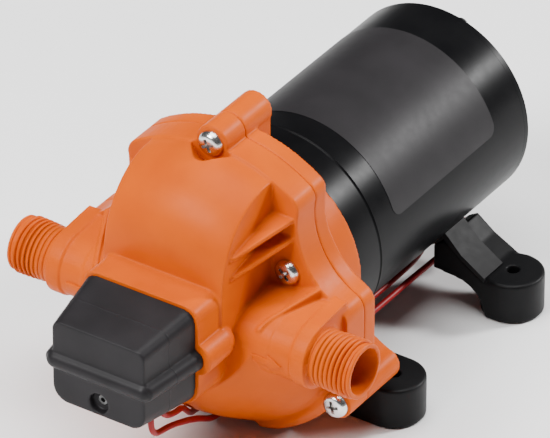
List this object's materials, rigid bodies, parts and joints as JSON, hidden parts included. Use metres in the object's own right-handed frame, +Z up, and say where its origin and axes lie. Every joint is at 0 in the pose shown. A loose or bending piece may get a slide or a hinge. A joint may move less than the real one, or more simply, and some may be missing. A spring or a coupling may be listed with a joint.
{
  "type": "diaphragm water pump",
  "caption": "Small electric diaphragm water pump: lobed orange head with side ports and a pressure switch in front, black round motor behind, rubber feet",
  "frame": {"origin": "centre of the four foot screw holes, on the floor", "axes": "+Z up, +Y from the pump head towards the motor's rear, +X towards the outlet port"},
  "size_m": [0.1392, 0.2129, 0.1183],
  "materials": {
    "orange_plastic": "semi-gloss moulded plastic",
    "zinc_screws": "bright zinc-plated steel",
    "soft_rubber": "matt black rubber",
    "white_plastic": "natural white moulded plastic",
    "bearing_steel": "ground steel",
    "bronze": "sintered bronze and brass",
    "dark_steel": "satin dark plated steel",
    "charcoal_plastic": "satin moulded plastic",
    "red_plastic": "moulded plastic",
    "motor_black": "satin black paint",
    "ferrite": "sintered ferrite",
    "core_iron": "stacked sheet iron",
    "copper": "copper",
    "brown_plastic": "pressed phenolic board",
    "carbon": "pressed carbon",
    "foot_rubber": "satin black rubber",
    "red_insulation": "glossy dark red insulation"
  },
  "bodies": {
    "pump_body": {"head_cover": "orange_plastic", "drive_housing": "orange_plastic", "lobe_screws": "zinc_screws", "notch_screws": "zinc_screws", "cover_seal": "soft_rubber", "valve_plate": "white_plastic", "inlet_valves": "soft_rubber", "outlet_valve": "soft_rubber", "diaphragm": "soft_rubber", "motor_face_screws": "zinc_screws", "switch_cover": "charcoal_plastic", "micro_switch": "charcoal_plastic", "switch_terminals": "bronze", "switch_diaphragm": "soft_rubber", "switch_spring": "bearing_steel", "motor_front_ring": "motor_black", "motor_can": "motor_black", "motor_end_cap": "motor_black", "magnets": "ferrite", "front_bush": "bronze", "rear_bush": "bronze", "brush_holder": "brown_plastic", "brushes": "carbon", "brush_springs": "bearing_steel", "through_bolts": "zinc_screws", "motor_strap": "dark_steel", "front_left_foot": "foot_rubber", "front_right_foot": "foot_rubber", "rear_left_foot": "foot_rubber", "rear_right_foot": "foot_rubber", "switch_lead_front": "red_insulation", "switch_lead_rear": "red_insulation", "lead_grommets": "soft_rubber"},
    "rotor": {"motor_shaft": "bearing_steel", "armature_core": "core_iron", "armature_windings": "copper", "commutator": "copper", "drive_cam": "dark_steel", "cam_set_screw": "zinc_screws", "cam_bearing_inner": "bearing_steel"},
    "wobble": {"wobble_plate": "white_plastic", "cam_bearing_outer": "bearing_steel", "piston_caps": "white_plastic", "piston_screws": "zinc_screws"},
    "ball_train": {"cam_bearing_balls": "bearing_steel", "cam_bearing_cage": "bronze"},
    "plunger": {"switch_plunger": "white_plastic"},
    "button": {"switch_button": "red_plastic"},
    "adjuster": {"adjusting_screw": "zinc_screws"},
    "spring_nut": {"spring_seat": "zinc_screws"}
  },
  "joints": [
    {"name": "rotor_spin", "type": "hinge", "parent": "pump_body", "child": "rotor", "pos_m": [0, -0.0445, 0.054], "axis": [0, 1, 0], "continuous": true, "deforming": ["diaphragm"]},
    {"name": "wobble_nod", "type": "hinge", "parent": "rotor", "child": "wobble", "pos_m": [0, -0.0655, 0.054], "axis": [0, 0.9993, 0.0384], "continuous": true},
    {"name": "ball_roll", "type": "hinge", "parent": "rotor", "child": "ball_train", "pos_m": [0, -0.0655, 0.054], "axis": [0, 0.9993, 0.0384], "continuous": true},
    {"name": "plunger_travel", "type": "slide", "parent": "pump_body", "child": "plunger", "axis": [0, -1, 0], "range_m": [0, 0.001], "stiffness_N_per_m": 800, "deforming": ["switch_spring", "switch_diaphragm"]},
    {"name": "button_travel", "type": "slide", "parent": "pump_body", "child": "button", "axis": [0, -1, 0], "range_m": [0, 0.001], "stiffness_N_per_m": 100},
    {"name": "adjuster_turn", "type": "hinge", "parent": "pump_body", "child": "adjuster", "pos_m": [0, -0.1403, 0.045], "axis": [0, 1, 0], "range_deg": [-360, 360]},
    {"name": "seat_travel", "type": "slide", "parent": "pump_body", "child": "spring_nut", "axis": [0, 1, 0], "range_m": [-0.00075, 0.00075]}
  ],
  "couplings": [
    {"joint": "wobble_nod", "follows": "rotor_spin", "ratio": -1},
    {"joint": "ball_roll", "follows": "rotor_spin", "ratio": -0.61875},
    {"joint": "button_travel", "follows": "plunger_travel", "ratio": 1},
    {"joint": "seat_travel", "follows": "adjuster_turn", "m_per_rad": 0.00011141}
  ]
}
